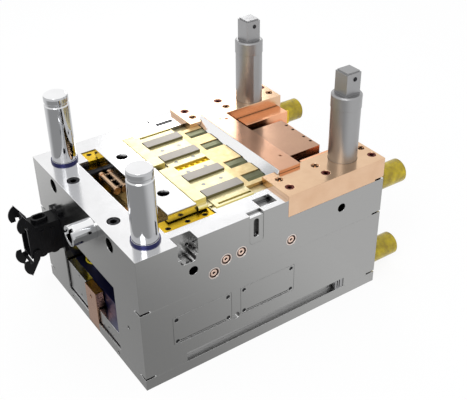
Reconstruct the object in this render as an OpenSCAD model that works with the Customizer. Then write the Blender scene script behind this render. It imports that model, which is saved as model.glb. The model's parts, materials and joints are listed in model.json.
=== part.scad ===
// Moving half of an injection mould with two side slides, an ejector set and four feet.
// X runs along the block toward the feet, Y from the near face to the far face, Z up.
// The origin is the centre of the knock-out bore on the clamping face.

/* [Mould base] */
// length of the block along X
block_l = 600; // [590:2:612]
// width of the block along Y
block_w = 455; // [450:1:462]
// thickness of the clamp plate
clamp_t = 26; // [24:1:32]
// height of the two risers
riser_h = 167; // [163:1:180]
// thickness of the core plate
core_t = 127; // [125:1:135]
// clear width between the risers
window_w = 244; // [240:1:250]
// height of the clamping groove above the clamp plate
groove_h = 24; // [20:1:28]
// depth of the clamping groove
groove_d = 16; // [12:1:20]

/* [Guide pins and posts] */
// diameter of the guide pins
pin_d = 52; // [46:1:54]
// how far the guide pins stand above the core plate
pin_up = 157; // [130:1:170]
// diameter of the square-headed posts
post_d = 64; // [58:1:66]
// how far the round part of a post stands above the core plate
post_up = 160; // [150:1:175]
// side of the square head of a post
head_s = 36; // [32:1:40]
// height of the square head of a post
head_h = 50; // [44:1:54]
// inward travel of the plunger in a square head
plunger_travel = 2; // [1.5:0.5:2.5]

/* [Left slide] */
// length of the slide body along X
slide_l = 64; // [60:1:66]
// how far the top plate of the slide stands above the core plate
slide_up = 19.4; // [18:0.2:22]
// how far the top plate of the slide reaches over each gib
slide_over = 13; // [10:0.5:15]
// diameter of the angled bores
angled_d = 24; // [20:1:26]
// travel of the left slide
left_travel = 20; // [12:1:22]
// diameter of the two slide bolts
bolt_d = 14; // [12:1:16]
// outer diameter of the chrome stop housing
housing_d = 43; // [40:1:44]
// length of the chrome stop housing
housing_l = 50; // [46:1:54]

/* [Right slide] */
// height of the slide head above the core plate
head_up = 18; // [16:1:22]
// how far the flange of the slide head reaches over each end block
flange_over = 13; // [10:0.5:15]
// length of the copper head along X
copper_l = 53; // [48:1:56]
// width of the rear block along Y
rear_w = 142; // [130:2:150]
// distance from the rear block to the right face
rear_back = 47.8; // [46:0.2:60]
// travel of the right slide
right_travel = 35; // [20:1:38]

/* [End blocks and feet] */
// how far the end blocks stand above the core plate
end_up = 10; // [8:0.5:12]
// height of the seat that holds each end block
end_seat = 40; // [36:1:44]
// width of an end block along Y
end_w = 90.5; // [88:0.5:94]
// diameter of a foot
foot_d = 54; // [48:1:56]
// length of a foot
foot_l = 90; // [70:1:100]

/* [Ejector set] */
// thickness of the ejector base plate
base_plate_t = 34; // [30:1:36]
// thickness of the retainer plate
retainer_t = 42; // [38:1:44]
// diameter of an ejector pin
eject_d = 8; // [6:0.5:10]
// travel of the ejector set
eject_travel = 60; // [40:5:65]
// diameter of a support pillar
pillar_d = 46; // [40:1:50]
// diameter of an ejector guide pillar
guide_d = 24; // [20:1:26]

/* [Core set] */
// width of a grey strip
strip_w = 26; // [22:1:28]
// width of an edge insert
edge_w = 35; // [32:0.5:38]
// how far the grey strips stand above the core plate
strip_up = 8; // [6:0.5:9]
// depth of the core pocket below the core plate top
pocket_d = 72; // [68:1:74]

/* [Connector] */
// height of the connector housing
con_h = 74; // [68:1:78]
// depth of the connector housing along Y
con_w = 44; // [40:1:46]
// length of the connector housing away from the block
con_l = 72; // [66:1:80]

/* [Clearances] */
// radial clearance of a running pin or rod
fit = 0.06; // [0.03:0.01:0.1]
// gap between flat sliding faces
slip = 0.3; // [0.2:0.05:0.4]

/* [Hidden] */
$fn = 64;
eps = 0.5;
steel = [0.72, 0.72, 0.73];
bright = [0.86, 0.87, 0.88];
dark = [0.16, 0.16, 0.17];
copper = [0.80, 0.56, 0.43];
gold = [0.80, 0.62, 0.12];
pale = [0.96, 0.92, 0.68];
olive = [0.36, 0.37, 0.24];
navy = [0.13, 0.15, 0.30];
yellow = [0.82, 0.76, 0.12];
black = [0.05, 0.05, 0.06];

// block faces and plate levels
x_l = -block_l / 2;
x_r = block_l / 2;
y_f = block_w / 2;
z_riser = clamp_t;
z_core = z_riser + riser_h;
z_top = z_core + core_t;
riser_w = (block_w - window_w) / 2;
riser_y = (block_w + window_w) / 4;

// guide pins and posts
pin_x = x_l + 51;
pin_y = y_f - 51.5;
pin_seat_d = pin_d + 1;
ring_d = pin_d + 5;
ring_top = z_top + 5;
ring_z = z_top - 1;
post_x = x_r - 70;
post_y = y_f - 57;
post_top = z_top + post_up;
post_land = post_top - 30;
shank_d = post_d - 2;
head_top = post_top + head_h;
flat_y = post_d / 2 - 2;
plunger_z = post_top + 34;
plunger_d = 9;
plunger_h = 14;
plunger_out = 2.5;
spring_room = 3.5;

// end blocks and the channel of the right slide
end_x = x_l + 344;
end_z = z_top - end_seat;
end_top = z_top + end_up;
channel_w = block_w - 2 * end_w;
seat_y = channel_w / 2;
floor_z = z_top - pocket_d;
screw_xs = [end_x + 23, x_r - 140, x_r - 14];
lobed_y = seat_y + 28;
hex_y = seat_y + 63;

// core pocket; the widths of the inserts and strips add up to its width
gib_y = pin_y - pin_d / 2 - 8;
core_x0 = x_l + 204;
core_x1 = x_l + 365.6;
core_w = 2 * gib_y + 48;
insert_x0 = core_x0 + 11;
insert_x1 = x_l + 304;
base_top = z_top - 8;
centre_extra = 23;
mid_w = (core_w - 2 * edge_w - 4 * strip_w - centre_extra) / 3;
centre_w = mid_w + centre_extra;
strip_in = (centre_w + strip_w) / 2;
strip_out = strip_in + mid_w + strip_w;
strip_ys = [-strip_out, -strip_in, strip_in, strip_out];
mid_y = (strip_in + strip_out) / 2;
edge_y = (core_w - edge_w) / 2;
olive_half = 15;
olive_out = strip_out - 8;
olive_ys = [-olive_out, -strip_in, strip_in, olive_out];
olive_x = insert_x1 + 16;
pin_xs = [insert_x0 + 23, insert_x0 + 65];
pin_ys = [-mid_y, 10 - centre_w / 2, centre_w / 2 - 10, mid_y];

// pocket, gibs and sections of the left slide
pocket_x = x_l + 68;
pocket_w = 2 * gib_y + 76;
gib_x = pocket_x + 22;
gib_xs = [gib_x + 14, gib_x + 57, core_x0 - 18];
gib_screw_y = pocket_w / 2 - 12;
pocket_z = z_top - 64;
wear_t = 8;
slide_x1 = core_x0 - 28;
slide_x0 = slide_x1 - slide_l;
gib_top = z_top - 2;
body_y = gib_y - slip;
tongue_y = gib_y + 8;
slide_w = 2 * (gib_y + slide_over);
tongue_z0 = pocket_z + wear_t + slip;
tongue_z1 = tongue_z0 + 15.4;
slide_top = z_top + slide_up;
plate_z = gib_top + 2.4;
angled_x = slide_x0 + 31;
angled_y = gib_y - 56;
angled_depth = 120;
lean = 12;
bolt_y = gib_y - 16;
bolt_z = z_top - 22;
bolt_seat = 30;
bolt_end = slide_x1 - 26;
bar_w = 27;
bar_gap = 10;
bar_top = slide_top + 1.6;
rod_y = 30 - angled_y;
rod_z = z_top - 22;
rod_d = 12;
nut_x = x_l - 18;
tube_y0 = 38;
tube_y1 = bolt_y - 14;
tube_x = slide_x0 - 9;
tube_z = z_top - 26;

// right slide
front_x = core_x1 + 0.6;
copper_x = front_x + 14;
rear_x = copper_x + copper_l;
rear_end = x_r - rear_back;
flange_w = channel_w + 2 * flange_over;
right_top = z_top + head_up;
rear_top = z_top - 15;
foot_y = rear_w / 2 + 13;
slide_z = floor_z + slip;
step_z = slide_z + 11.4;
guide_top = floor_z + 28;
over_z = end_top + slip;

// ejector set
button_h = 4;
base_z = z_riser + button_h;
retain_z = base_z + base_plate_t;
retain_top = retain_z + retainer_t;
plate_l = block_l - 8;
plate_w = window_w - 8;
set_back = 17;
rail_x = x_l + 19;
rail_y = 3;
rail_w = 50;
rail_top = z_riser + 80;
pillar_xs = [x_l + 110, 0, x_r - 110];
button_xs = [x_l + 50, x_l + 205, x_r - 205, x_r - 50];
pillar_y = mid_y - 30.5;
guide_x = x_r - 55;
guide_y = 88;
bush_d = guide_d + 12;
pin_head_d = eject_d + 6;
pin_head_h = 5;

// fasteners that join the plates
long_xs = [x_l + 110, 0, x_r - 130];
long_y = riser_y + 20;
long_tip = z_core + 24;
dowel_x = x_r - 22;
dowel_y = y_f - 20;
pry_s = 34;
pry_h = 5;

// features of the near face
nipples = [[x_l + 166, z_core + 28], [x_l + 194.5, z_core + 49],
           [x_l + 230.5, z_core + 51], [x_l + 354, z_core + 28]];
lift_xs = [x_l + 120, x_r - 114.5];
lift_z = z_core + 55.5;
lift_depth = 36;
port_depth = 46;
cup_d = 27;
strip_screw_x = x_l + 30;
strip_screw_y = gib_y - 53;
lock_x = x_l + 266.5;
lock_w = 33;
lock_h = 69;
lock_t = 14;
lock_down = 5;
slot_w = 12;
slot_x = lock_x - 1;
slot_low = z_top - 48;
slot_high = z_top - 17;
slot_depth = 9;
cover_w = 137;
cover_h = 70;
cover_t = 6;
cover_z = z_riser + 93;
cover_xs = [x_l + 136.5, x_l + 295.5];
notch_x = x_l + 110;

// connector
con_x = x_l - 8;
con_y = y_f - 105.5;
con_z = z_core + 2;
con_end = con_x - con_l;
wall = 4;
lever_x = con_end + 13;
lever_dz = con_h / 2 - 12;
lever_y = con_w / 2 + 0.6;
lug_d = 24;
lug_y = -6;
rib_d = 26;
claw_d = 52;

// centred along X and Y, standing on z
module slab(l, w, h, at = [0, 0, 0]) {
    translate([at[0] - l / 2, at[1] - w / 2, at[2]]) cube([l, w, h]);
}

// box from one corner to the opposite one
module span(a, b) {
    translate(a) cube(b - a);
}

// upright round bar from z0 to z1
module bar(d, z0, z1, x = 0, y = 0) {
    translate([x, y, z0]) cylinder(d = d, h = z1 - z0);
}

// round bar along X from x0 to x1
module bar_x(d, x0, x1, y = 0, z = 0) {
    translate([x0, y, z]) rotate([0, 90, 0]) cylinder(d = d, h = x1 - x0);
}

// round bar along Y from y0 to y1
module bar_y(d, y0, y1, x = 0, z = 0) {
    translate([x, y0, z]) rotate([-90, 0, 0]) cylinder(d = d, h = y1 - y0);
}

// copies on both sides of the XZ plane
module both_y() {
    children();
    mirror([0, 1, 0]) children();
}

// four copies about the Z axis at plus and minus x and y
module four(x, y) {
    for (sx = [-1, 1], sy = [-1, 1]) translate([sx * x, sy * y, 0]) children();
}

// socket head screw pointing down, head top at z = 0
module cap_screw(d, length) {
    difference() {
        union() {
            translate([0, 0, -d]) cylinder(d = 1.5 * d, h = d);
            translate([0, 0, -length]) cylinder(d = d, h = length);
        }
        translate([0, 0, -d * 0.55]) cylinder(d = d * 0.92, h = d, $fn = 6);
    }
}

// slot across a near corner of a plate, just above its lower face
module pry_slot(x, z) {
    translate([x, -y_f, z + pry_h / 2 - eps]) rotate(45) cube([pry_s, pry_s, pry_h], center = true);
}

// four small lobes that form the recess of a lobed screw
module lobes(d, h) {
    for (a = [45 : 90 : 315]) rotate(a) translate([d * 0.36, 0, 0]) cylinder(d = d * 0.5, h = h, $fn = 20);
    cylinder(d = d * 0.42, h = h, $fn = 20);
}

// base plates

module clamp_plate() {
    color(steel) difference() {
        slab(block_l, block_w, clamp_t);
        bar(44, -eps, clamp_t + eps);
        for (x = long_xs, s = [-1, 1]) {
            bar(26, -eps, 17, x, s * long_y);
            bar(17, 0, clamp_t + eps, x, s * long_y);
        }
        four(dowel_x, dowel_y) bar(16, 6, clamp_t + eps);
        span([x_l - eps, rail_y - rail_w / 2, -eps], [rail_x, rail_y + rail_w / 2, clamp_t + eps]);
        for (s = [-1, 1]) bar_x(7, x_l - eps, x_l + 24, s * 110, 11);
    }
}

// one riser on the near side, with the bores that every riser needs
module riser_body() {
    difference() {
        slab(block_l, riser_w, riser_h, [0, -riser_y, z_riser]);
        span([x_l + 96, -y_f - eps, z_riser - eps],
             [x_r - 92, -y_f + groove_d, z_riser + groove_h]);
        for (x = long_xs) bar(17, z_riser - eps, z_core + eps, x, -long_y);
        for (s = [-1, 1]) {
            bar(16, z_riser - eps, z_core + eps, s * dowel_x, -dowel_y);
            pry_slot(s * x_r, z_riser);
        }
        bar_x(17, x_r - 25, x_r + eps, -y_f + 43, z_riser + 20);
        bar_x(8, x_l - eps, x_l + 24, -y_f + 55, z_riser + 101);
    }
}

module riser_near() {
    color(steel) difference() {
        riser_body();
        for (x = cover_xs) {
            span([x - cover_w / 2, -y_f - eps, cover_z - cover_h / 2],
                 [x + cover_w / 2, -y_f + cover_t, cover_z + cover_h / 2]);
            for (sx = [-1, 1], z = [cover_z - 27, cover_z + 27])
                bar_y(5, -y_f, -y_f + 22, x + sx * 60, z);
        }
        bar_y(17, -y_f - eps, -y_f + 5, x_l + 216, cover_z - 31);
    }
}

module riser_far() {
    color(steel) mirror([0, 1, 0]) riser_body();
}

// stepped space for the core set between the slide pockets
module core_space(w, gap, z0, z1) {
    span([core_x0 + gap, -w / 2 + gap, z0], [end_x - gap, w / 2 - gap, z1]);
    span([end_x - 2 * gap - 1, -seat_y + gap, z0], [core_x1 - gap, seat_y - gap, z1]);
}

module core_plate() {
    color(steel) difference() {
        slab(block_l, block_w, core_t, [0, 0, z_core]);
        core_space(core_w, 0, floor_z, z_top + eps);
        span([core_x1 - 1, -seat_y, floor_z], [x_r + eps, seat_y, z_top + eps]);
        span([pocket_x, -gib_y, pocket_z], [core_x0 + 1, gib_y, z_top + eps]);
        span([gib_x, -pocket_w / 2, pocket_z], [core_x0 + 1, pocket_w / 2, z_top + eps]);
        both_y() {
            span([end_x, -y_f - eps, end_z], [x_r + eps, -seat_y + eps, z_top + eps]);
            bar(pin_seat_d, z_core - eps, z_top + eps, pin_x, -pin_y);
            bar(ring_d + 0.4, ring_z, z_top + eps, pin_x, -pin_y);
            bar(pin_d + 8, z_core - eps, z_core + 8, pin_x, -pin_y);
            bar(shank_d, z_core - eps, z_top, post_x, -post_y);
            bar(27, z_top - 17, z_top + eps, strip_screw_x, -strip_screw_y);
            bar(16, z_top - 50, z_top, strip_screw_x, -strip_screw_y);
            for (x = long_xs) bar(16, z_core - eps, long_tip, x, -long_y);
            bar_x(17, x_r - 25, x_r + eps, -y_f + 43, z_top - 72);
            bar_x(30, x_l - eps, x_l + bolt_seat, -bolt_y, bolt_z);
            bar_x(bolt_d, x_l, pocket_x + eps, -bolt_y, bolt_z);
            angled_bore(angled_d + 6);
            lock_shape(lock_t);
            for (x = screw_xs) {
                bar(10, end_z - 24, end_z + eps, x, -lobed_y);
                bar(12, end_z - 30, end_z + eps, x, -hex_y);
            }
            for (x = [x_l, x_r]) pry_slot(x, z_core);
            four(dowel_x, dowel_y) bar(16, z_core - eps, z_core + 20);
        }
        bar_x(rod_d + 2 * fit, x_l - eps, pocket_x + eps, rod_y, rod_z);
        for (x = pin_xs, y = pin_ys) bar(eject_d + 2 * fit, z_core - eps, floor_z + eps, x, y);
        for (a = [0, 180], x = lift_xs) rotate(a) bar_y(20, -y_f - eps, -y_f + lift_depth, x, lift_z);
        for (n = nipples) bar_y(cup_d, -y_f - eps, -y_f + 10, n[0], n[1]);
        for (i = [0 : 3]) bar_y(10, -y_f, -y_f + port_depth + 2 * i, nipples[i][0], nipples[i][1]);
        span([notch_x - 22, -y_f - eps, z_top - 36], [notch_x + 22, -y_f + 28, z_top + eps]);
        for (s = [-1, 1]) bar_y(16, -y_f - eps, -y_f + 28, notch_x + s * 9, z_top - 42);
        span([notch_x - 9, -y_f - eps, z_top - 50], [notch_x + 9, -y_f + 28, z_top - 34]);
        for (s = [-1, 1]) bar_y(7, -y_f, -y_f + 40, notch_x + s * 14, z_top - 28);
        span([x_l + 286, -y_f + 15, z_top - 12], [x_l + 326, -y_f + 44, z_top + eps]);
        span([x_l + 287, y_f - 38, z_top - 5], [x_l + 330, y_f - 26, z_top + eps]);
        for (z = [con_z - 31, con_z + 31]) bar_x(5, x_l - eps, x_l + 12, con_y + 26, z);
    }
}

// flush side lock outline with rounded lower corners, on the near face
module lock_shape(t, gap = 0) {
    w = lock_w / 2 - gap;
    translate([lock_x, -y_f - eps, z_top - lock_h]) {
        span([-w, 0, 8], [w, t + eps - gap, lock_h + (gap > 0 ? 0 : eps)]);
        span([-w + 8, 0, gap], [w - 8, t + eps - gap, 9]);
        for (s = [-1, 1]) bar_y(16 - 2 * gap, 0, t + eps - gap, s * (lock_w / 2 - 8), 8);
    }
}

module lock_plate() {
    difference() {
        intersection() {
            lock_shape(lock_t, 0.05);
            span([lock_x - 40, -y_f, 0], [lock_x + 40, 0, z_top - lock_down]);
        }
        slab(slot_w, 2 * slot_depth, slot_high - slot_low, [slot_x, -y_f, slot_low]);
        for (z = [slot_low, slot_high]) bar_y(slot_w, -y_f - 1, -y_f + slot_depth, slot_x, z);
    }
}

module side_lock_near() {
    color(steel) lock_plate();
}

module side_lock_far() {
    color(steel) mirror([0, 1, 0]) lock_plate();
}

module centre_rail() {
    color(copper * 0.8) difference() {
        span([x_l, rail_y - rail_w / 2, 0], [rail_x, rail_y + rail_w / 2, rail_top]);
        bar_x(9, x_l - eps, x_l + 6, rail_y, rail_top - 22);
    }
}

module support_pillars() {
    color(olive) for (x = pillar_xs, s = [-1, 1]) bar(pillar_d, z_riser, z_core, x, s * pillar_y);
}

module guide_pillars() {
    color(bright) four(guide_x, guide_y) bar(guide_d, z_riser, z_core);
}

module stop_buttons() {
    color(dark) for (x = button_xs, s = [-1, 1]) bar(20, z_riser, base_z, x, s * 30);
}

module plate_screws() {
    color(dark) for (x = long_xs, s = [-1, 1])
        translate([x, s * long_y, 1]) mirror([0, 0, 1]) cap_screw(16, long_tip - 3);
}

module plate_dowels() {
    color(bright) four(dowel_x, dowel_y) bar(16, 6, z_core + 20);
}

// leader pin with a grooved, rounded nose
module guide_pin() {
    r = pin_d / 2;
    seat = pin_seat_d / 2;
    nose = z_top + pin_up;
    color(bright) rotate_extrude() polygon([[0, z_core], [r + 4, z_core], [r + 4, z_core + 8],
        [seat, z_core + 8], [seat, ring_top], [r, ring_top], [r, nose - 24], [r - 2, nose - 22],
        [r - 2, nose - 18], [r - 0.3, nose - 15], [r - 0.3, nose - 6], [r - 1.6, nose - 2],
        [r - 5, nose], [0, nose]]);
}

module guide_pin_near() {
    translate([pin_x, -pin_y, 0]) guide_pin();
}

module guide_pin_far() {
    translate([pin_x, pin_y, 0]) guide_pin();
}

module pin_rings() {
    color(navy) for (s = [-1, 1]) difference() {
        bar(ring_d, ring_z, ring_top, pin_x, s * pin_y);
        bar(pin_seat_d, ring_z - 1, ring_top + 1, pin_x, s * pin_y);
    }
}

// thick post with a relieved shank, a milled flat toward the slide and a square head
module post() {
    r = post_d / 2;
    shank = shank_d / 2;
    color(steel) difference() {
        union() {
            rotate_extrude() polygon([[0, z_core], [shank, z_core], [shank, post_land],
                [r, post_land], [r, post_top - 3], [r - 3, post_top], [0, post_top]]);
            slab(head_s, head_s, head_h - 3, [0, 0, post_top]);
            slab(head_s - 5, head_s - 5, 3, [0, 0, head_top - 3]);
        }
        span([-r, flat_y, end_top + 0.2], [r, r + 1, post_land]);
    }
}

// blind bore for the plunger in the near side of a square head
module plunger_hole() {
    bar_y(plunger_d + 2 * fit, -head_s / 2 - 1,
        -head_s / 2 + plunger_h - plunger_out + plunger_travel + spring_room, 3, plunger_z);
}

module post_near() {
    color(steel) translate([post_x, -post_y, 0]) difference() {
        post();
        plunger_hole();
    }
}

module post_far() {
    color(steel) translate([post_x, post_y, 0]) difference() {
        mirror([0, 1, 0]) post();
        plunger_hole();
    }
}

module plunger() {
    color(dark) translate([3, -head_s / 2 - plunger_out, plunger_z]) rotate([-90, 0, 0])
        rotate_extrude() polygon([[0, 0], [plunger_d / 2 - 2, 0], [plunger_d / 2, 2],
            [plunger_d / 2, plunger_h], [0, plunger_h]]);
}

module plunger_near() {
    translate([post_x, -post_y, 0]) plunger();
}

module plunger_far() {
    translate([post_x, post_y, 0]) plunger();
}

// end block of the near side with its post and screw bores
module end_block() {
    color(copper) difference() {
        span([end_x, -y_f, end_z], [x_r, -seat_y, end_top]);
        bar(shank_d, end_z - eps, end_top + eps, post_x, -post_y);
        for (x = screw_xs) {
            bar(17, end_top - 12, end_top + eps, x, -lobed_y);
            bar(10, end_z - eps, end_top, x, -lobed_y);
            bar(19, end_top - 13, end_top + eps, x, -hex_y);
            bar(12, end_z - eps, end_top, x, -hex_y);
        }
        pry_slot(x_r, end_z);
    }
}

module end_block_near() {
    end_block();
}

module end_block_far() {
    mirror([0, 1, 0]) end_block();
}

module lobed_screws() {
    color(dark) for (x = screw_xs, s = [-1, 1]) translate([x, s * lobed_y, end_top]) difference() {
        union() {
            translate([0, 0, -12]) cylinder(d = 17, h = 10);
            translate([0, 0, -end_top + end_z - 24]) cylinder(d = 10, h = end_top - end_z + 20);
        }
        translate([0, 0, -6]) lobes(14, 10);
    }
}

module hex_screws() {
    color([0.45, 0.12, 0.10]) for (x = screw_xs, s = [-1, 1]) translate([x, s * hex_y, end_top - 1])
        cap_screw(12, end_top - end_z + 26);
}

module strip_screws() {
    color(dark) for (s = [-1, 1])
        translate([strip_screw_x, s * strip_screw_y, z_top - 1]) cap_screw(16, 46);
}

// core set

module pin_bores(z0, z1) {
    for (x = pin_xs, y = pin_ys) bar(eject_d + 2 * fit, z0, z1, x, y);
}

module core_base() {
    color(pale) difference() {
        union() {
            core_space(core_w, 0, floor_z, base_top);
            span([core_x0, -core_w / 2, base_top - 1], [insert_x0, core_w / 2, z_top]);
        }
        pin_bores(floor_z - eps, base_top + eps);
        for (y = [9 - core_w / 2, 13, core_w / 2 - 26]) translate([core_x0 + 6, y, z_top - 3]) lobes(9, 6);
    }
}

module grey_strips() {
    color([0.62, 0.60, 0.58]) for (y = strip_ys)
        span([insert_x0, y - strip_w / 2, base_top], [insert_x1, y + strip_w / 2, z_top + strip_up]);
}

module centre_insert() {
    color(pale) difference() {
        span([insert_x0, -centre_w / 2, base_top], [insert_x1, centre_w / 2, z_top + 3]);
        span([insert_x0 + 8, -9, z_top - 5], [insert_x1 - 2, 9, z_top + 4]);
        pin_bores(base_top - eps, z_top + 4);
    }
}

module gate_bar() {
    color(gold) difference() {
        span([insert_x0 + 8, -9, z_top - 5], [insert_x1 - 2, 9, z_top - 1]);
        for (i = [0 : 4]) bar(8, z_top - 2.5, z_top, insert_x0 + 20 + 14 * i, 0);
    }
}

module mid_inserts() {
    color(pale) difference() {
        for (s = [-1, 1]) slab(insert_x1 - insert_x0, mid_w, z_top + 3 - base_top,
            [(insert_x0 + insert_x1) / 2, s * mid_y, base_top]);
        pin_bores(base_top - eps, z_top + 4);
    }
}

module edge_inserts() {
    color(pale) difference() {
        for (s = [-1, 1]) slab(insert_x1 - insert_x0, edge_w, z_top + 2 - base_top,
            [(insert_x0 + insert_x1) / 2, s * edge_y, base_top]);
        for (s = [-1, 1]) slab(78, 6, 5, [(insert_x0 + insert_x1) / 2 + 4, s * (edge_y + 9), z_top - 2]);
    }
}

module olive_inserts() {
    color(olive) for (y = olive_ys) difference() {
        span([olive_x, y - olive_half, base_top], [core_x1, y + olive_half, z_top - 1]);
        bar_x(60, olive_x - 1, core_x1 + 1, y - 22, z_top + 22);
    }
}

module cream_inserts() {
    color([0.90, 0.80, 0.62]) {
        both_y() {
            span([insert_x1, -strip_in, base_top], [olive_x, strip_in, z_top + 1]);
            span([olive_x - 1, olive_half - strip_in, base_top], [core_x1, 0, z_top + 1]);
            span([insert_x1, -seat_y, base_top], [olive_x, -strip_in + 1, z_top + 1]);
            span([olive_x - 1, olive_half - olive_out, base_top],
                 [core_x1, -strip_in - olive_half, z_top + 1]);
            span([olive_x - 1, -seat_y, base_top], [core_x1, -olive_out - olive_half, z_top + 1]);
        }
    }
}

// left slide, its pocket and its drive

module slide_gibs() {
    color(gold) both_y() difference() {
        span([gib_x, -pocket_w / 2, pocket_z], [core_x0, -gib_y, gib_top]);
        span([gib_x - 1, -tongue_y - slip, pocket_z + wear_t],
             [core_x0 + 1, -gib_y + 1, tongue_z1 + slip]);
        for (x = gib_xs) {
            bar(11, gib_top - 8, gib_top + 1, x, -gib_screw_y);
            bar(7, pocket_z - 1, gib_top, x, -gib_screw_y);
        }
    }
}

module gib_screws() {
    color(dark) for (x = gib_xs, s = [-1, 1])
        translate([x, s * gib_screw_y, gib_top - 1]) cap_screw(7, gib_top - pocket_z - 2);
}

module wear_plate() {
    color([0.48, 0.38, 0.16]) difference() {
        span([pocket_x, -gib_y, pocket_z], [core_x0, gib_y, pocket_z + wear_t]);
        for (i = [-4 : 4]) bar(7, pocket_z + 4, pocket_z + wear_t + 1, pocket_x + 8, i * 28);
        for (i = [-3 : 3]) bar(10, pocket_z + 5, pocket_z + wear_t + 1, pocket_x + 30, i * 36);
        both_y() angled_bore(angled_d + 6);
    }
}

// inclined bore through the left slide and what lies under it
module angled_bore(d) {
    translate([angled_x, -angled_y, slide_top]) rotate([0, lean, 0])
        translate([0, 0, -angled_depth]) cylinder(d = d, h = angled_depth + 20);
}

module slide_bolts() {
    color(dark) for (s = [-1, 1]) difference() {
        union() {
            bar_x(24, x_l + bolt_seat - 12, x_l + bolt_seat, s * bolt_y, bolt_z);
            bar_x(bolt_d, x_l + bolt_seat - 12, bolt_end, s * bolt_y, bolt_z);
        }
        translate([x_l + bolt_seat - 13, s * bolt_y, bolt_z]) rotate([0, 90, 0]) cylinder(d = 12, h = 7, $fn = 6);
    }
}

module left_slide() {
    color(steel) difference() {
        union() {
            span([slide_x0 + 2, -tongue_y, tongue_z0], [slide_x1, tongue_y, tongue_z1]);
            span([slide_x0, -body_y, tongue_z0], [slide_x1, body_y, slide_top]);
            span([slide_x0, -slide_w / 2, plate_z], [slide_x1, slide_w / 2, slide_top]);
        }
        both_y() angled_bore(angled_d);
        for (s = [-1, 1])
            bar_x(bolt_d + 2 * fit, slide_x0 - 1, bolt_end + left_travel + 2, s * bolt_y, bolt_z);
        bar_x(rod_d, slide_x0 - 1, slide_x0 + 24, rod_y, rod_z);
    }
}

// two core bars on the front of the slide, each with a stepped outer end
module left_bars() {
    color(pale) for (s = [-1, 1]) scale([1, s, 1]) {
        difference() {
            span([slide_x1, bar_gap, tongue_z0], [slide_x1 + bar_w, body_y, bar_top]);
            bar_y(12, bar_gap - 1, body_y + 1, slide_x1 + bar_w + 2, tongue_z0 + 20);
        }
        span([slide_x1, body_y, plate_z], [slide_x1 + bar_w, slide_w / 2 - 7, bar_top]);
        translate([slide_x1 + 3, slide_w / 2 - 7, plate_z]) {
            cube([bar_w - 5, 6, 10]);
            bar_x(10, 0, bar_w - 5, 6, 5);
        }
    }
}

module pull_rod() {
    color(bright) {
        bar_x(rod_d, nut_x, slide_x0 + 24, rod_y, rod_z);
        difference() {
            bar_x(26, nut_x, nut_x + 10, rod_y, rod_z);
            bar_x(rod_d - 0.02, nut_x - 1, nut_x + 11, rod_y, rod_z);
            for (a = [0, 90]) translate([nut_x + 1, rod_y, rod_z]) rotate([a, 0, 0]) slab(5, 3, 30, [0, 0, -15]);
        }
    }
}

// open chrome sleeve that the nut of the pull rod runs in
module stop_housing() {
    color(bright) difference() {
        bar_x(housing_d, x_l - housing_l, x_l, rod_y, rod_z);
        bar_x(29, x_l - housing_l - 1, x_l - 4, rod_y, rod_z);
        bar_x(rod_d + 2, x_l - 5, x_l + 1, rod_y, rod_z);
        for (a = [30 : 120 : 270]) translate([x_l - housing_l, rod_y, rod_z]) rotate([a, 0, 0])
            slab(12, 8, 40, [0, 0, 4]);
    }
}

// copper tube on the back of the slide with a dark fitting at each end
module cooling_tube() {
    color(copper) {
        bar_y(13, tube_y0 + 6, tube_y1 - 6, tube_x, tube_z);
        for (y = [tube_y0 + 6, (tube_y0 + tube_y1) / 2 - 3, tube_y1 - 12])
            span([tube_x, y, tube_z - 5], [slide_x0, y + 6, tube_z + 5]);
        bar_y(17, tube_y0, tube_y0 + 6, tube_x, tube_z);
        bar_y(17, tube_y1 - 6, tube_y1, tube_x, tube_z);
    }
}

// right slide

module slide_front() {
    slope = [[0, 48], [0, 68 + slip], [13, right_top - floor_z], [14, right_top - floor_z], [14, 48]];
    color(steel) {
        intersection() {
            translate([front_x, seat_y - slip, floor_z]) rotate([90, 0, 0])
                linear_extrude(channel_w - 2 * slip) polygon(slope);
            span([0, -y_f, 0], [x_r, y_f, right_top]);
        }
        intersection() {
            translate([front_x, flange_w / 2 - 1, floor_z]) rotate([90, 0, 0])
                linear_extrude(flange_w - 2) polygon(slope);
            span([0, -y_f, over_z], [x_r, y_f, right_top]);
        }
    }
}

module slide_head() {
    color(copper) difference() {
        union() {
            span([copper_x, -seat_y + slip, slide_z], [rear_x, seat_y - slip, right_top]);
            span([copper_x, -flange_w / 2, over_z], [rear_x, flange_w / 2, right_top]);
        }
        for (s = [-1, 1]) bar(6, right_top - 20, right_top + 1, copper_x + 38, s * (seat_y - 36));
        bar(3, right_top - 10, right_top + 1, copper_x + 26, seat_y - 29);
    }
}

module slide_rear() {
    color(copper * 0.92) difference() {
        union() {
            span([rear_x, -rear_w / 2, slide_z], [rear_end, rear_w / 2, rear_top]);
            span([rear_x + 8, -foot_y, slide_z], [rear_end, foot_y, step_z]);
        }
        for (y = [-44, -20, 20, 44]) bar(7, rear_top - 12, rear_top + 1, rear_end - 5, y);
    }
}

module channel_gibs() {
    color(dark) both_y() translate([rear_x + right_travel + 5, -foot_y - slip, floor_z])
        rotate([90, 0, 90]) linear_extrude(x_r - 8 - rear_x - right_travel - 5)
            polygon([[-20, 0], [0, 0], [0, step_z - floor_z + slip],
                [13, step_z - floor_z + slip], [13, guide_top - floor_z], [-20, guide_top - floor_z]]);
}

// fittings of the near and left faces

// cup with a flush rim around a centre tube, turned on one axis
module water_nipples() {
    color([0.72, 0.47, 0.30]) for (n = nipples) translate([n[0], -y_f, n[1]]) rotate([-90, 0, 0])
        rotate_extrude() polygon([[3, 1], [7, 1], [7.5, 1.5], [7.5, 8], [cup_d / 2 - 3, 8],
            [cup_d / 2 - 3, 0], [cup_d / 2, 0], [cup_d / 2, 10], [5, 10], [5, 22], [3, 22]]);
}

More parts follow.
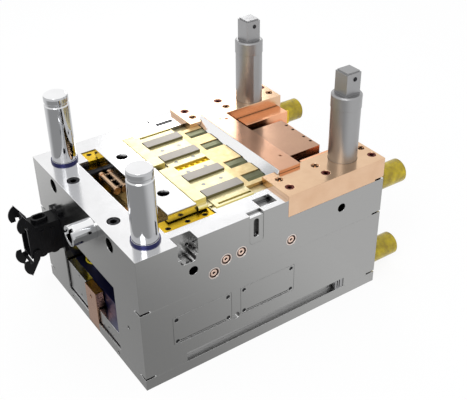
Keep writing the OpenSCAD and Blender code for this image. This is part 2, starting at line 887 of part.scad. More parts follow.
module cover_plates() {
    color(steel) for (x = cover_xs) difference() {
        span([x - cover_w / 2 + 0.6, -y_f, cover_z - cover_h / 2 + 0.6],
             [x + cover_w / 2 - 0.6, -y_f + cover_t, cover_z + cover_h / 2 - 0.6]);
        for (sx = [-1, 1], z = [cover_z - 27, cover_z + 27]) {
            bar_y(5, -y_f - 1, -y_f + cover_t + 1, x + sx * 60, z);
            bar_y(9, -y_f - 1, -y_f + 4, x + sx * 60, z);
        }
        span([x - 54, -y_f - 1, cover_z - 33], [x + 54, -y_f + 2, cover_z - 31]);
        span([x - 54, -y_f - 1, cover_z - 29], [x + 54, -y_f + 2, cover_z - 27]);
    }
}

module cover_screws() {
    color(dark) for (x = cover_xs, sx = [-1, 1], z = [cover_z - 27, cover_z + 27]) {
        bar_y(9, -y_f + 1.5, -y_f + 4, x + sx * 60, z);
        bar_y(5, -y_f + 1.5, -y_f + 20, x + sx * 60, z);
    }
}

module groove_stop() {
    color(bright) difference() {
        span([x_r - 114, -y_f + 2, z_riser], [x_r - 92, -y_f + groove_d, z_riser + groove_h]);
        for (i = [0, 1]) span([x_r - 110 + 6 * i, -y_f + 1, z_riser + 2],
            [x_r - 107 + 6 * i, -y_f + 8, z_riser + groove_h + 1]);
    }
}

// feet on the right face
module foot_spots() {
    for (s = [-1, 1], z = [z_riser + 20, z_top - 72])
        translate([x_r, s * (y_f - 43), z]) rotate([0, 90, 0]) children();
}

module feet() {
    color(yellow) foot_spots() difference() {
        rotate_extrude() polygon([[0, 0], [foot_d / 2, 0], [foot_d / 2, foot_l - 3],
            [foot_d / 2 - 3, foot_l], [0, foot_l]]);
        translate([0, 0, -1]) cylinder(d = 17, h = foot_l + 2);
        translate([0, 0, foot_l - 20]) cylinder(d = 26, h = 21);
    }
}

module foot_screws() {
    color(dark) foot_spots() translate([0, 0, foot_l - 4]) cap_screw(16, foot_l + 20);
}

// ejector set

// bores that both ejector plates share
module plate_bores(z0, z1) {
    for (x = pillar_xs, s = [-1, 1]) bar(pillar_d + 5, z0, z1, x, s * pillar_y);
    four(guide_x, guide_y) bar(bush_d, z0, z1);
}

module ejector_base() {
    color(steel) difference() {
        union() {
            slab(plate_l, plate_w, base_plate_t, [0, 0, base_z]);
            span([-plate_l / 2, rail_y + rail_w / 2 + 2, retain_z - 1],
                 [x_l + 4 + set_back - slip, plate_w / 2, retain_top]);
        }
        span([x_l, rail_y - rail_w / 2 - 2, base_z - 1], [rail_x + 3, rail_y + rail_w / 2 + 2, retain_z + 1]);
        plate_bores(base_z - 1, retain_z + 1);
        bar(16, base_z - 1, retain_z + 1);
        for (s = [-1, 1]) bar_x(6, x_l, x_l + 16, s * 65, base_z + 14);
        bar_x(6, x_l, x_l + 16, 65, retain_top - 10);
    }
}

module ejector_retainer() {
    color(navy) difference() {
        slab(plate_l - 2 * set_back, plate_w, retainer_t, [0, 0, retain_z]);
        plate_bores(retain_z - 1, retain_top + 1);
        for (x = pin_xs, y = pin_ys) {
            bar(pin_head_d + 1, retain_z - 1, retain_z + pin_head_h, x, y);
            bar(eject_d, retain_z, retain_top + 1, x, y);
        }
    }
}

module ejector_pins() {
    color(bright) for (x = pin_xs, y = pin_ys) {
        bar(pin_head_d, retain_z, retain_z + pin_head_h, x, y);
        bar(eject_d, retain_z, z_top + 3, x, y);
    }
}

module guide_bushes() {
    color(gold) four(guide_x, guide_y) difference() {
        bar(bush_d, base_z, retain_top);
        bar(guide_d + 2 * fit, base_z - 1, retain_top + 1);
    }
}

// springs around the guide pillars, drawn as sleeves of stacked coils
module return_springs() {
    coils = 7;
    pitch = (z_core - retain_top) / coils;
    color(yellow) four(guide_x, guide_y) translate([0, 0, retain_top]) difference() {
        cylinder(d = guide_d + 18, h = z_core - retain_top);
        translate([0, 0, -1]) cylinder(d = guide_d + 4, h = z_core - retain_top + 2);
        for (i = [0.5 : coils]) translate([0, 0, i * pitch]) difference() {
            cylinder(d = guide_d + 20, h = eject_travel / coils, center = true);
            cylinder(d = guide_d + 8, h = pitch, center = true);
        }
    }
}

// connector

// upright oval bar of the cable port, with its two centres reach away from its middle
module oval(d, reach, z0, z1) {
    for (s = [-1, 1]) bar(d, z0, z1, -36 + s * reach);
    slab(2 * reach, d, z1 - z0, [-36, 0, z0]);
}

module con_housing() {
    color(black) translate([con_x, con_y, con_z]) difference() {
        union() {
            span([-con_l, -con_w / 2, -con_h / 2], [0, con_w / 2, con_h / 2]);
            span([0, -con_w / 2 - 8, -con_h / 2 - 5], [8, con_w / 2 + 10, con_h / 2 + 5]);
            bar_x(lug_d, 0, 8, lug_y, con_h / 2 + 10);
            for (x = [-18, -46]) bar_y(rib_d, -con_w / 2, con_w / 2, x, (rib_d - con_h) / 2 - 4);
            for (i = [0, 1]) span([-22 - 24 * i, -con_w / 2 - 1.5, -con_h / 2 + 13],
                [-14 - 24 * i, -con_w / 2, con_h / 2 - 13]);
            oval(24, 6, con_h / 2 - 1, con_h / 2 + 9);
        }
        span([-con_l - 1, -con_w / 2 + wall, -con_h / 2 + wall], [-wall, con_w / 2 - wall, con_h / 2 - wall]);
        oval(17, 5, con_h / 2 - 12, con_h / 2 + 10);
        for (s = [-1, 1]) bar_y(6 + 2 * fit, -con_w, con_w, lever_x - con_x, s * lever_dz);
        for (z = [-31, 31]) bar_x(5, -1, 9, con_w / 2 + 4, z);
        bar_x(6, -1, 5, lug_y, con_h / 2 + 13);
    }
}

module con_insert() {
    color(dark) translate([con_x, con_y, con_z]) {
        span([-con_l + 24, -con_w / 2 + wall, -con_h / 2 + wall], [-wall, con_w / 2 - wall, con_h / 2 - 14]);
        for (i = [0 : 5], s = [-1, 1]) bar_x(3, -con_l + 14, -con_l + 24, s * 8, -22 + 8 * i);
    }
}

// locking lever with two claw arms and a cross bar; pivot at the origin
module lever() {
    for (s = [-1, 1]) {
        translate([0, s * (lever_y + 1.5), 0]) rotate([90, 0, 0]) linear_extrude(3, center = true) {
            circle(d = 16);
            polygon([[8, 0], [3, 16], [-19, 52], [-20, 22], [-12, 20], [-8, 0]]);
            intersection() {
                translate([-7, 26]) circle(d = claw_d);
                translate([-claw_d, 12]) square([claw_d - 19, claw_d]);
            }
        }
        bar_y(6, s > 0 ? lever_y - wall : -lever_y - 1.5, s > 0 ? lever_y + 1.5 : -lever_y + wall);
    }
    bar_y(7, -lever_y - 3, lever_y + 3, -11, 30);
}

module con_lever_top() {
    color(black) translate([lever_x, con_y, con_z + lever_dz]) lever();
}

module con_lever_low() {
    color(black) translate([lever_x, con_y, con_z - lever_dz]) mirror([0, 0, 1]) lever();
}

clamp_plate();
riser_near();
riser_far();
core_plate();
centre_rail();
support_pillars();
guide_pillars();
stop_buttons();
plate_screws();
plate_dowels();
guide_pin_near();
guide_pin_far();
pin_rings();
post_near();
post_far();
plunger_near();
plunger_far();
end_block_near();
end_block_far();
lobed_screws();
hex_screws();
strip_screws();
core_base();
grey_strips();
centre_insert();
gate_bar();
mid_inserts();
edge_inserts();
olive_inserts();
cream_inserts();
slide_gibs();
gib_screws();
wear_plate();
slide_bolts();
stop_housing();
left_slide();
left_bars();
pull_rod();
cooling_tube();
slide_front();
slide_head();
slide_rear();
channel_gibs();
side_lock_near();
side_lock_far();
water_nipples();
cover_plates();
cover_screws();
groove_stop();
feet();
foot_screws();
ejector_base();
ejector_retainer();
ejector_pins();
guide_bushes();
return_springs();
con_housing();
con_insert();
con_lever_top();
con_lever_low();
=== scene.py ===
import json
import math

import bmesh
import bpy
from mathutils import Matrix, Vector


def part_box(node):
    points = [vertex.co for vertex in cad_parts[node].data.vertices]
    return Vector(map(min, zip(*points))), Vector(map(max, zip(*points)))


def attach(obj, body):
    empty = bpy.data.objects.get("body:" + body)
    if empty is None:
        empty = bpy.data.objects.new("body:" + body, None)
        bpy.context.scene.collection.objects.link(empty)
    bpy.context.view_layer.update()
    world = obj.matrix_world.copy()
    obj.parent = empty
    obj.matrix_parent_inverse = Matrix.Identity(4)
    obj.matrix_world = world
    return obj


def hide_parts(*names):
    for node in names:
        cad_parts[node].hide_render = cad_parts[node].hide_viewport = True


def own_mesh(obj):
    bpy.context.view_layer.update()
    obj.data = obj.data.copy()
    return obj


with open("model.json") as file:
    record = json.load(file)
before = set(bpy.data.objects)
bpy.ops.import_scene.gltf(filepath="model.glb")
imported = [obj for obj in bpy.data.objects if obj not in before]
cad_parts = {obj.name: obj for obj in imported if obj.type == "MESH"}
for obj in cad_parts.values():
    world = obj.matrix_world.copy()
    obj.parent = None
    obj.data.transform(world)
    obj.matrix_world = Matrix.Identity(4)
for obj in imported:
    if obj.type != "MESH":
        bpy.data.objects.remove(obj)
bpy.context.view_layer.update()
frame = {"nodes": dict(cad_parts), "record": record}

MM = 0.001               # one millimetre, in the frame's metres
nodes = frame["nodes"]


# Small helpers

def linear(code):
    """sRGB hex to the linear colour that a shader takes."""
    parts = [int(code[i:i + 2], 16) / 255 for i in (1, 3, 5)]
    return tuple(c / 12.92 if c <= 0.04045 else ((c + 0.055) / 1.055) ** 2.4 for c in parts) + (1.0,)


def put(tree, kind, settings=None, **inputs):
    """Adds a node. settings are its own properties; inputs are values, or sockets to link from.
    An input is named with _ for a space, or i0, i1 and so on by its place."""
    made = tree.nodes.new(kind)
    for key, value in (settings or {}).items():
        setattr(made, key, value)
    for key, value in inputs.items():
        place = int(key[1:]) if key[0] == "i" and key[1:].isdigit() else key.replace("_", " ")
        if isinstance(value, bpy.types.NodeSocket):
            tree.links.new(value, made.inputs[place])
        else:
            made.inputs[place].default_value = value
    return made


def blank(name):
    """A new material with an empty tree and its output node."""
    material = bpy.data.materials.new(name)
    material.use_nodes = True
    tree = material.node_tree
    tree.nodes.clear()
    return material, tree, tree.nodes.new("ShaderNodeOutputMaterial")


def new_object(name, data):
    """Adds an object with this mesh, lamp or camera to the scene."""
    made = bpy.data.objects.new(name, data)
    bpy.context.scene.collection.objects.link(made)
    return made


# Camera: its place and lens were found by matching the block's corners in the photograph

CAMERA_AT = Vector((-0.7919, -1.2723, 1.2100))
CAMERA_BACK = Vector((-0.4658, -0.6905, 0.5534))
CAMERA_LENS = 62.93
CAMERA_ROLL = math.radians(-0.78)


def make_camera():
    back = CAMERA_BACK.normalized()
    level = Vector((0, 0, 1)).cross(back).normalized()
    upright = back.cross(level)
    right = math.cos(CAMERA_ROLL) * level + math.sin(CAMERA_ROLL) * upright
    up = math.cos(CAMERA_ROLL) * upright - math.sin(CAMERA_ROLL) * level
    data = bpy.data.cameras.new("camera")
    data.sensor_fit = "HORIZONTAL"
    data.sensor_width = 36
    data.lens = CAMERA_LENS
    data.clip_start = 0.05
    camera = new_object("camera", data)
    camera.matrix_world = Matrix.Translation(CAMERA_AT) @ Matrix((right, up, back)).transposed().to_4x4()
    bpy.context.scene.camera = camera


# Studio: white floor and world, a strip lamp behind the far end block, a large one above the near corner

FLOOR_SIZE = 14.0        # metres, as all lengths of the studio
FLOOR_SHADOW = 0.14      # share of the paper that takes the shadow
FLOOR_WHITE = 1.03       # makes up for what the shaded share of the paper lacks
AMBIENT = 0.8            # strength of the room's light on the object
STRIP_LAMP = {"at": (0.86, 1.52, 1.17), "size": (0.62, 0.42), "power": 3.4}
KEY_LAMP = {"at": (-1.7, -1.5, 2.7), "size": (1.6, 1.6), "power": 34}
LAMP_AIM = Vector((0, 0, 0.25))
DISC_SIDES = 64
FLAG_AT = (-0.95, -0.35, 0.0006)    # just above the paper
FLAG_RADIUS = 1.25
FLAG_CORE = 0.70         # radius within which it is darkest
FLAG_TONE = 0.47         # and its brightness there


def seen_directly(tree):
    """1 for rays from the camera and for those that metal or glass sends back, else 0."""
    path = put(tree, "ShaderNodeLightPath")
    gloss = put(tree, "ShaderNodeMath", {"operation": "MAXIMUM"},
                i0=path.outputs["Is Camera Ray"], i1=path.outputs["Is Glossy Ray"])
    both = put(tree, "ShaderNodeMath", {"operation": "MAXIMUM"},
               i0=gloss.outputs[0], i1=path.outputs["Is Transmission Ray"])
    return both.outputs[0]


def make_world():
    world = bpy.data.worlds.new("studio")
    bpy.context.scene.world = world
    world.use_nodes = True
    tree = world.node_tree
    tree.nodes.clear()
    room = put(tree, "ShaderNodeBackground", Color=linear("#F4F5F7"), Strength=AMBIENT)
    white = put(tree, "ShaderNodeBackground", Color=(1, 1, 1, 1), Strength=1.0)
    mix = put(tree, "ShaderNodeMixShader", i0=seen_directly(tree), i1=room.outputs[0], i2=white.outputs[0])
    put(tree, "ShaderNodeOutputWorld", Surface=mix.outputs[0])


def flat_disc(name, radius, at):
    mesh = bpy.data.meshes.new(name)
    angles = [math.tau * i / DISC_SIDES for i in range(DISC_SIDES)]
    ring = [(radius * math.cos(a), radius * math.sin(a), 0) for a in angles]
    mesh.from_pydata(ring, [], [list(range(DISC_SIDES))])
    disc = new_object(name, mesh)
    disc.location = at
    return disc


def make_floor():
    """White seamless paper: white where it is seen, with part of the object's soft shadow kept."""
    floor = flat_disc("floor", FLOOR_SIZE / 2, (0, 0, 0))
    material, tree, out = blank("white_paper")
    paper = put(tree, "ShaderNodeBsdfDiffuse", Color=linear("#F2F2F2"))
    white = put(tree, "ShaderNodeEmission", Color=(1, 1, 1, 1), Strength=FLOOR_WHITE)
    share = put(tree, "ShaderNodeMath", {"operation": "MULTIPLY"},
                i0=seen_directly(tree), i1=1 - FLOOR_SHADOW)
    mix = put(tree, "ShaderNodeMixShader", i0=share.outputs[0], i1=paper.outputs[0], i2=white.outputs[0])
    tree.links.new(mix.outputs[0], out.inputs["Surface"])
    floor.data.materials.append(material)


def make_flag():
    """Soft-edged disc on the floor that glows darker than the white paper and is seen only in reflections:
    a painted reflection that gives the chrome its bands.
    """
    flag = flat_disc("flag", FLAG_RADIUS, FLAG_AT)
    for ray in ("camera", "diffuse", "transmission", "volume_scatter", "shadow"):
        setattr(flag, "visible_" + ray, False)
    material, tree, out = blank("flag_painted_reflection")
    place = put(tree, "ShaderNodeTexCoord").outputs["Object"]
    reach = put(tree, "ShaderNodeVectorMath", {"operation": "LENGTH"}, i0=place).outputs["Value"]
    tone = put(tree, "ShaderNodeMapRange", {"interpolation_type": "SMOOTHSTEP"}, Value=reach,
               i1=FLAG_CORE, i2=FLAG_RADIUS, i3=FLAG_TONE, i4=1.0)
    glow = put(tree, "ShaderNodeEmission", Color=(1, 1, 1, 1), Strength=tone.outputs[0])
    tree.links.new(glow.outputs[0], out.inputs["Surface"])
    material.cycles.emission_sampling = "NONE"
    flag.data.materials.append(material)


def make_lamp(name, at, size, power):
    data = bpy.data.lights.new(name, "AREA")
    data.shape = "RECTANGLE"
    data.size, data.size_y = size
    data.energy = power
    lamp = new_object(name, data)
    lamp.location = at
    lamp.rotation_euler = (LAMP_AIM - Vector(at)).to_track_quat("-Z", "Y").to_euler()
    lamp.visible_camera = False


# Finishes

EDGE_MM = 1.1            # radius that the light sees on the edges of metal pieces
EDGE_SAMPLES = 6
# painted shade in holes, grooves and inner corners: its samples, span and darkest colour
HOLLOW_SAMPLES = 14
HOLLOW_SPAN = 0.25       # from black to full colour, in openness
HOLLOW_BLACK = 0.02
NOISE_SPAN = (0.3, 0.7)  # most of the noise's values, the rest are clipped
FAINT_MARK = 0.10        # share of the patches in plain metal, and in metal with marks of its own
STRONG_MARK = 0.45
TOOL_MARK_MM = 0.2       # depth of the bump in metal, and in plastic
GRAIN_MM = 0.1
PLASTIC_PATCH_MM = 18
PLASTIC_SPREAD = 0.08
PLASTIC_IOR = 1.5


def place_in_part(tree):
    return put(tree, "ShaderNodeTexCoord").outputs["Object"]


def top_mask_painted_light(tree, low=0.6, high=0.85):
    """1 on faces that look up, 0 on the sides and below: the mask for the tops' painted light or painted
    shade, and for their roughness.
    """
    normal = put(tree, "ShaderNodeNewGeometry").outputs["Normal"]
    split = put(tree, "ShaderNodeSeparateXYZ", Vector=normal)
    return put(tree, "ShaderNodeMapRange", Value=split.outputs["Z"], i1=low, i2=high).outputs[0]


def patches(tree, size_mm, low, high, stretch=(1, 1, 1), detail=2.0):
    """Soft patches about size_mm across, from low to high."""
    stretched = put(tree, "ShaderNodeMapping", Vector=place_in_part(tree), Scale=stretch)
    noise = put(tree, "ShaderNodeTexNoise", Vector=stretched.outputs[0], Scale=1 / (size_mm * MM),
                Detail=detail, Roughness=0.55)
    spread = put(tree, "ShaderNodeMapRange", Value=noise.outputs["Fac"],
                 i1=NOISE_SPAN[0], i2=NOISE_SPAN[1], i3=low, i4=high)
    return spread.outputs[0]


def painted_shade_in_hollows(tree, reach_mm, black_at):
    """Painted shade: 1 on open faces, near 0 in holes, grooves and inner corners, where the real metal
    mirrors only dark walls.
    Faces less open than black_at, within reach_mm, are darkest."""
    hollow = put(tree, "ShaderNodeAmbientOcclusion", {"samples": HOLLOW_SAMPLES}, Distance=reach_mm * MM)
    return put(tree, "ShaderNodeMapRange", Value=hollow.outputs["AO"], i1=black_at,
               i2=black_at + HOLLOW_SPAN, i3=HOLLOW_BLACK, i4=1.0).outputs[0]


def blend_colours(tree, share, first, second):
    mix = put(tree, "ShaderNodeMix", {"data_type": "RGBA"}, i0=share, i6=first, i7=second)
    return mix.outputs[2]


def metal(name, sides, rough, top=None, top_rough=None, mark=None, mark_mm=40, line_mm=3.0,
          line_along=(0.02, 1, 1), bump=0.02, metallic=1.0, spread=0.05, hollow_mm=34, black_at=0.2):
    """Machined metal. sides and top are its colours on upright and on flat faces; a top that differs is
    painted light or painted shade from above. mark tints soft patches about mark_mm across, and line_mm is
    the pitch of the tool marks that run along one axis. spread is how far roughness varies, and hollow_mm
    and black_at paint shade into holes, grooves and inner corners.
    Real grinding lines are about 0.1 mm apart and too fine for the render, so they are drawn coarser."""
    material, tree, out = blank(name)
    up = top_mask_painted_light(tree)
    # painted light or painted shade: the top colour on faces that look up
    colour = blend_colours(tree, up, linear(sides), linear(top or sides))
    tint = blend_colours(tree, patches(tree, mark_mm, 0.0, 1.0, detail=4), colour, linear(mark or sides))
    share = FAINT_MARK if mark is None else STRONG_MARK
    colour = blend_colours(tree, share, colour, tint)
    # painted shade: the colour goes dark in holes, grooves and inner corners
    colour = put(tree, "ShaderNodeMix", {"data_type": "RGBA", "blend_type": "MULTIPLY"}, i0=1.0,
                 i6=colour, i7=painted_shade_in_hollows(tree, hollow_mm, black_at)).outputs[2]
    lines = patches(tree, line_mm, 0.0, 1.0, stretch=line_along, detail=1)
    base = put(tree, "ShaderNodeMapRange", Value=up, i3=rough, i4=top_rough or rough).outputs[0]
    wander = put(tree, "ShaderNodeMath", {"operation": "MULTIPLY_ADD"}, i0=lines, i1=spread, i2=base)
    edges = put(tree, "ShaderNodeBevel", {"samples": EDGE_SAMPLES}, Radius=EDGE_MM * MM).outputs[0]
    height = put(tree, "ShaderNodeBump", Height=lines, Strength=bump, Distance=TOOL_MARK_MM * MM,
                 Normal=edges)
    shader = put(tree, "ShaderNodeBsdfPrincipled", Base_Color=colour, Metallic=metallic,
                 Roughness=wander.outputs[0], Normal=height.outputs[0])
    tree.links.new(shader.outputs[0], out.inputs["Surface"])
    return material


def plastic(name, colour, rough, grain_mm=1.5, bump=0.15, clear=0.0, shade=None, gloss=0.5):
    """Plastic with a fine grain. shade tints soft patches, and clear lets light through, as in cast
    urethane."""
    material, tree, out = blank(name)
    grain = patches(tree, grain_mm, 0.0, 1.0, detail=3)
    patch = patches(tree, PLASTIC_PATCH_MM, 0.0, 1.0)
    tint = blend_colours(tree, patch, linear(colour), linear(shade or colour))
    wander = put(tree, "ShaderNodeMath", {"operation": "MULTIPLY_ADD"},
                 i0=grain, i1=PLASTIC_SPREAD, i2=rough)
    height = put(tree, "ShaderNodeBump", Height=grain, Strength=bump, Distance=GRAIN_MM * MM)
    shader = put(tree, "ShaderNodeBsdfPrincipled", Base_Color=tint, Roughness=wander.outputs[0],
                 Normal=height.outputs[0])
    shader.inputs["IOR"].default_value = PLASTIC_IOR
    shader.inputs["Transmission Weight"].default_value = clear
    shader.inputs["Specular IOR Level"].default_value = gloss
    tree.links.new(shader.outputs[0], out.inputs["Surface"])
    return material


def make_finishes():
    """One finish for each material slot of the part, by the slot's name."""
    return {
        # tool steel, surface ground on the sides and lapped on the parting face, which is smoother: grey
        # sides, and a white top that is painted light
        "steel": metal("ground_tool_steel", "#A2A2A1", 0.20, top="#F3F3F4", top_rough=0.12, line_mm=2.5,
                       black_at=0.25),
        # the lower plates' open grooves keep some light, so their painted shade goes less dark; their paler
        # top is painted light too
        "plate": metal("ground_plate_steel", "#A2A2A1", 0.20, top="#E4E4E5", line_mm=2.5, hollow_mm=24,
                       black_at=0.1),
        # the same steel lapped on every face, for the slides' working faces, with its sides painted as
        # white as the lit tops: painted light
        "lapped": metal("lapped_tool_steel_painted_light", "#F4F4F4", 0.12, top="#F3F3F4", line_mm=2.5, hollow_mm=20),
        # and on the slide with the two leaning bores: sides painted as white as the lit tops as painted
        # light, and strong painted shade that makes the bores black from above
        "bored": metal("lapped_bored_steel_painted_light_and_shade", "#F4F4F4", 0.12, top="#F3F3F4", line_mm=2.5, hollow_mm=32,
                       black_at=0.46),
        # hardened pins, hard chromed and polished: a mirror with hardly any haze, with a top painted
        # lighter than the sides as painted light
        "polished": metal("polished_hard_chrome", "#B9BABC", 0.05, top="#F6F6F7", spread=0.02, bump=0.004),
        # hardened steel, turned and left satin: soft upright bands of light
        "satin": metal("satin_turned_steel", "#9E9E9F", 0.36, line_mm=1.5, line_along=(0.1, 0.1, 1),
                       bump=0.03),
        # screws, black oxide: almost black with a soft shine
        "dark_steel": metal("black_oxide_steel", "#2A2A2D", 0.38, metallic=0.85, spread=0.1),
        # screws with a dark red plating
        "red_steel": metal("red_plated_steel", "#63251C", 0.36, metallic=0.8, spread=0.1),
        # copper alloy blocks, ground: peach colour with cloudy patches, and a slightly paler top as painted
        # light
        "copper": metal("ground_copper_alloy", "#E2BFA0", 0.22, top="#E8C6A4", top_rough=0.16,
                        mark="#CDA27E", mark_mm=55, line_mm=2.5, hollow_mm=36),
        # the same alloy on the slide's rear and the rail in the left window, painted darker as painted
        # shade, with a darker top and strong painted shade in its hollows
        "painted_shade_copper": metal("copper_alloy_painted_shade", "#C59A80", 0.24, top="#BB957B", top_rough=0.2,
                                mark="#A67F6B", mark_mm=70, line_mm=2.5, hollow_mm=36, black_at=0.4),
        # and on the slide's head, smoother and lighter, with its top painted darker as painted shade
        "head_copper": metal("copper_alloy_top_painted_shade", "#EBB694", 0.2, top="#CFA286", top_rough=0.18,
                             mark="#C09072", mark_mm=60, line_mm=2.5, hollow_mm=30),
        # gibs of purer copper, ground: strong orange, with a slightly paler top as painted light and strong
        # painted shade in the channel
        "orange": metal("ground_copper", "#F2B48E", 0.22, top="#F6BE98", mark="#E09A6C", mark_mm=40,
                        line_mm=2.5, black_at=0.4),
        # turned copper hose nipples, and the nickel plated and polished rims of their seats
        "rim": metal("polished_nickel", "#D8CCC6", 0.08, line_along=(1, 0.1, 1), line_mm=1.2, hollow_mm=5),
        "nipple": metal("turned_copper", "#E8CBBB", 0.14, line_along=(1, 0.1, 1), line_mm=1.2, hollow_mm=7),
        # bearing bronze, ground: strong gold
        "gold": metal("ground_bronze", "#E6C02A", 0.24, mark="#B78F18", mark_mm=22, line_mm=2,
                      hollow_mm=36, black_at=0.15),
        # bearing bronze that the slide runs on, browned with oil
        "wear": metal("oiled_bronze", "#B8965A", 0.26, mark="#6B522A", mark_mm=14, line_mm=2,
                      black_at=0.08),
        # core inserts, pale gold coating over faint tool paths, with a paler top as painted light
        "pale": metal("pale_gold_coated_steel", "#EBDD82", 0.32, top="#F0E6BC", mark="#CBB578", mark_mm=16,
                      metallic=0.75, line_mm=4),
        # cream inserts, a warmer coating of the same kind, with a lighter top as painted light
        "cream": metal("light_gold_coated_steel", "#D3B680", 0.34, top="#EBD6A2", mark="#C29A5C",
                       mark_mm=12, metallic=0.7, line_mm=3),
        # spark-eroded strips: matt, with pale grey tops and darker sides, that difference painted light
        "grey": metal("spark_eroded_steel", "#6E6C55", 0.42, top="#A09B95", line_mm=1.2,
                      line_along=(1, 1, 1), bump=0.06),
        # dark coated blocks and pillars, olive with paler patches, and a lighter top as painted light
        "olive": metal("olive_coated_steel", "#4E503A", 0.32, top="#62644B", mark="#7C7E63", mark_mm=20,
                       line_mm=2),
        # heat-blued steel: navy, with painted shade that makes it nearly black deep in the window
        "blued": metal("blued_steel", "#2A2C5C", 0.3, mark="#1B1C38", mark_mm=60, metallic=0.8, line_mm=3,
                       hollow_mm=90),
        # cast urethane feet: glossy, with light inside
        "yellow": plastic("cast_urethane", "#E0C80A", 0.08, grain_mm=6, bump=0.03, clear=0.3,
                          shade="#A8900C"),
        # spring wire, lacquered: flat yellow with a soft shine
        "spring": plastic("spring_lacquer", "#D9C31D", 0.3, grain_mm=2, shade="#C2AC18"),
        # glass-filled nylon, moulded: black with grey glints along its edges
        "black": plastic("moulded_black_nylon", "#0B0B0D", 0.28, grain_mm=1.2, bump=0.25,
                         shade="#111113", gloss=0.22),
    }


# pieces whose finish differs from that of the rest of their slot
SPECIAL_FINISH = {"clamp_plate": "plate", "riser_near": "plate", "riser_far": "plate",
                  "slide_front": "lapped", "left_slide": "bored", "lobed_screws": "copper",
                  "slide_head": "head_copper", "slide_rear": "painted_shade_copper",
                  "centre_rail": "painted_shade_copper"}


def dress_nodes(finishes):
    slots = {part["node"]: part["material_slot"] for part in frame["record"]["subparts"]}
    for name, piece in nodes.items():
        piece.data.materials.clear()
        piece.data.materials.append(finishes[SPECIAL_FINISH.get(name, slots[name])])


# Chamfers: real edges are broken by half a millimetre or more and catch a thin line of light

CHAMFER_MM = {
    0.8: ["end_block_near", "end_block_far", "side_lock_near", "side_lock_far"],
    0.6: ["left_slide", "slide_front", "slide_head", "slide_rear", "left_bars", "centre_rail",
          "slide_gibs"],
    0.4: ["grey_strips", "mid_inserts", "centre_insert", "edge_inserts", "olive_inserts", "cream_inserts"],
}
WELD_MM = 0.001
FLAT_WITHIN = math.radians(1)
SHARP_FROM = math.radians(40)


def break_edges():
    """Merges the triangles of each flat face first, so that the chamfers run clean."""
    for width, names in CHAMFER_MM.items():
        for name in names:
            weld = nodes[name].modifiers.new("weld", "WELD")
            weld.merge_threshold = WELD_MM * MM
            flats = nodes[name].modifiers.new("flats", "DECIMATE")
            flats.decimate_type = "DISSOLVE"
            flats.angle_limit = FLAT_WITHIN
            bevel = nodes[name].modifiers.new("chamfer", "BEVEL")
            bevel.width = width * MM
            bevel.segments = 2
            bevel.limit_method = "ANGLE"
            bevel.angle_limit = SHARP_FROM
            bevel.harden_normals = True
            bevel.use_clamp_overlap = False


# Return springs: round wire, closed ends, one on each ejector guide pillar

WIRE_MM = 4.4
WIRE_SIDES = 12
COIL_TURNS = 6
COIL_STEPS = 32
FLAT_TURNS = 0.75        # at each end
PILLAR_R_MM = 12         # radius of the guide pillars, whose axes the springs share
CORNERS = (("near_left", -1, -1), ("near_right", 1, -1), ("far_left", -1, 1), ("far_right", 1, 1))


def coil_mesh(name, mean, low, high):
    """Wire of a compression spring that stands from low to high, with flat turns at both ends."""
    wire = WIRE_MM * MM / 2
    low, high = low + wire, high - wire
    steps = COIL_TURNS * COIL_STEPS
    centres = []
    for i in range(steps + 1):
        turn = i / COIL_STEPS
        share = min(max((turn - FLAT_TURNS) / (COIL_TURNS - 2 * FLAT_TURNS), 0), 1)
        angle = math.tau * turn
        centres.append(Vector((mean * math.cos(angle), mean * math.sin(angle), low + (high - low) * share)))
    points = []
    faces = []
    for i, centre in enumerate(centres):
        outward = Vector((centre.x, centre.y, 0)).normalized()
        for k in range(WIRE_SIDES):
            a = math.tau * k / WIRE_SIDES
            points.append(centre + wire * (math.cos(a) * outward + math.sin(a) * Vector((0, 0, 1))))
    for i in range(steps):
        for k in range(WIRE_SIDES):
            first = i * WIRE_SIDES
            second = first + WIRE_SIDES
            after = (k + 1) % WIRE_SIDES
            faces.append((first + k, second + k, second + after, first + after))
    faces.append(tuple(range(WIRE_SIDES)))
    faces.append(tuple(reversed(range(steps * WIRE_SIDES, (steps + 1) * WIRE_SIDES))))
    mesh = bpy.data.meshes.new(name)
    mesh.from_pydata(points, [], faces)
    mesh.shade_smooth()
    return mesh


def make_springs(finish):
    low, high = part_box("return_springs")
    pillar_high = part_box("guide_pillars")[1]
    x = pillar_high.x - PILLAR_R_MM * MM
    y = pillar_high.y - PILLAR_R_MM * MM
    mean = high.x - x - WIRE_MM * MM / 2
    for name, sx, sy in CORNERS:
        spring = new_object("spring_" + name, coil_mesh("spring_" + name, mean, low.z, high.z))
        spring.location = (sx * x, sy * y, 0)
        spring.data.materials.append(finish)
        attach(spring, "mould_base")
        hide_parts("return_springs")
        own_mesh(spring)


# Water nipples: copper tube in a cup whose plated rim is flush with the near side

# x and z of each nipple, then outlines of radius and depth
NIPPLES_MM = ((-134, 221), (-105.5, 242), (-69.5, 244), (54, 221))
RIM_MM = ((10.5, 8), (10.5, 0.4), (10.9, 0), (13.1, 0), (13.5, 0.4), (13.5, 10), (12.5, 10), (12.5, 8))
TUBE_MM = ((12.5, 8), (7.5, 8), (7.5, 1.7), (6.8, 1), (3.6, 1), (3, 1.6), (3, 22), (5, 22), (5, 10),
           (12.5, 10))
LATHE_STEPS = 48
CREASE = math.radians(30)


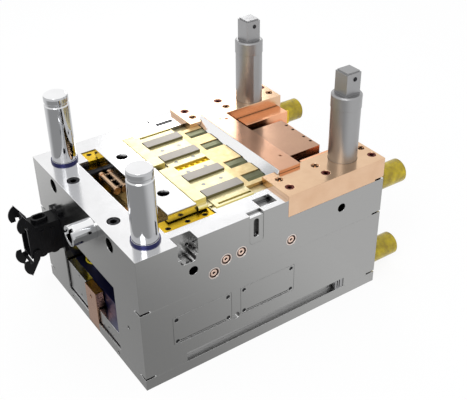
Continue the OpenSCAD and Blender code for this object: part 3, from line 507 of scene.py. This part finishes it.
def lathe_faces(shape, outline, deep_from, slot):
    """Turns an outline of radius and depth about a line that runs in from the near side."""
    rings = []
    for step in range(LATHE_STEPS):
        a = math.tau * step / LATHE_STEPS
        rings.append([shape.verts.new((radius * MM * math.cos(a), deep_from + deep * MM,
                                       radius * MM * math.sin(a))) for radius, deep in outline])
    for step, ring in enumerate(rings):
        after = rings[(step + 1) % LATHE_STEPS]
        for i in range(len(outline)):
            j = (i + 1) % len(outline)
            face = shape.faces.new((ring[i], ring[j], after[j], after[i]))
            face.material_index = slot


def make_nipples(tube_finish, rim_finish):
    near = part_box("water_nipples")[0].y
    for number, (x, z) in enumerate(NIPPLES_MM, 1):
        shape = bmesh.new()
        lathe_faces(shape, TUBE_MM, near, 0)
        lathe_faces(shape, RIM_MM, near, 1)
        bmesh.ops.recalc_face_normals(shape, faces=shape.faces)
        mesh = bpy.data.meshes.new("nipple_%d" % number)
        shape.to_mesh(mesh)
        shape.free()
        nipple = new_object("nipple_%d" % number, mesh)
        nipple.location = (x * MM, 0, z * MM)
        mesh.materials.append(tube_finish)
        mesh.materials.append(rim_finish)
        mesh.shade_smooth()
        mesh.set_sharp_from_angle(angle=CREASE)
        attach(nipple, "mould_base")
        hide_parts("water_nipples")


# Bars of one section that run along x: the stepped gibs, the latch pad and the bracket at the far foot

GIB_SECTION_MM = ((84.6, 248.2), (84.6, 260), (71.6, 260), (71.6, 272), (98, 272), (98, 305), (136.7, 305),
                  (136.7, 248.2))
GIB_X_MM = (173, 292)
PAD_SECTION_MM = ((190.3, 315.1), (200.5, 315.1), (200.5, 318.6), (199.6, 319.5), (191.2, 319.5),
                  (190.3, 318.6))
PAD_X_MM = (-12, 27)
BRACKET_SECTION_MM = ((106, 266), (130, 266), (130, 273), (113, 273), (113, 300), (106, 300))
BRACKET_X_MM = (292.1, 303)
BAR_CHAMFER_MM = 0.8
PAD_CHAMFER_MM = 0.3


def make_bar(name, section, ends_x, chamfer_mm, finish):
    """Extrudes a section of y and z from one x to the other and breaks its edges."""
    shape = bmesh.new()
    ends = [[shape.verts.new((x * MM, y * MM, z * MM)) for y, z in section] for x in ends_x]
    for end in ends:
        shape.faces.new(end)
    for i in range(len(section)):
        after = (i + 1) % len(section)
        shape.faces.new((ends[0][i], ends[0][after], ends[1][after], ends[1][i]))
    bmesh.ops.recalc_face_normals(shape, faces=shape.faces)
    bmesh.ops.bevel(shape, geom=shape.edges[:], offset=chamfer_mm * MM, segments=1, affect="EDGES",
                    profile=0.5)
    mesh = bpy.data.meshes.new(name)
    shape.to_mesh(mesh)
    shape.free()
    bar = new_object(name, mesh)
    mesh.materials.append(finish)
    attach(bar, "mould_base")
    return bar


def make_bars(finishes):
    for name, side in (("near", -1), ("far", 1)):
        section = [(side * y, z) for y, z in GIB_SECTION_MM]
        gib = make_bar("gib_" + name, section, GIB_X_MM, BAR_CHAMFER_MM, finishes["orange"])
        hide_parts("channel_gibs")
    make_bar("latch_pad", PAD_SECTION_MM, PAD_X_MM, PAD_CHAMFER_MM, finishes["black"])
    make_bar("foot_bracket", BRACKET_SECTION_MM, BRACKET_X_MM, BAR_CHAMFER_MM, finishes["gold"])


make_camera()
make_world()
make_floor()
make_flag()
make_lamp("strip_lamp", **STRIP_LAMP)
make_lamp("key_lamp", **KEY_LAMP)
finishes = make_finishes()
dress_nodes(finishes)
break_edges()
make_springs(finishes["spring"])
make_bars(finishes)
make_nipples(finishes["nipple"], finishes["rim"])

bpy.context.scene.view_settings.view_transform = "Standard"
